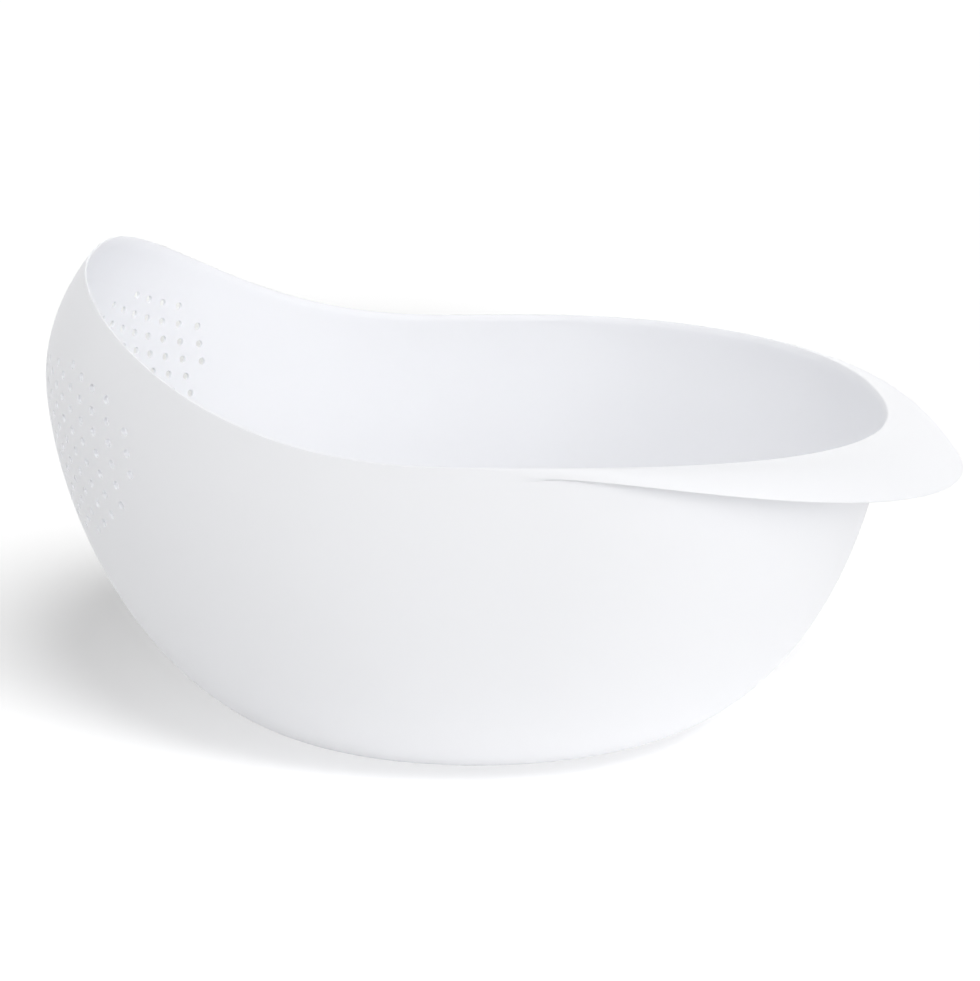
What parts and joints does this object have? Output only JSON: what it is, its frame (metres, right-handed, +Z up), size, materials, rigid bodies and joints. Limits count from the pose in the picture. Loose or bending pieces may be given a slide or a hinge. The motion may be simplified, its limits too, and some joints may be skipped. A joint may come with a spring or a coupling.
{
  "type": "strainer bowl",
  "caption": "White moulded bowl with an upswept, perforated end for straining, a turned-down lip as its handle, and a soft pad set into its base.",
  "frame": {"origin": "centre of the bounding box, on the floor under the pad", "axes": "+X towards the lip, with the perforated end at -X; +Z up"},
  "size_m": [0.3439, 0.2672, 0.1836],
  "materials": {
    "moulding": "satin moulded white",
    "pad": "matte"
  },
  "bodies": {
    "root": {"bowl": "moulding", "base_pad": "pad"}
  },
  "joints": []
}
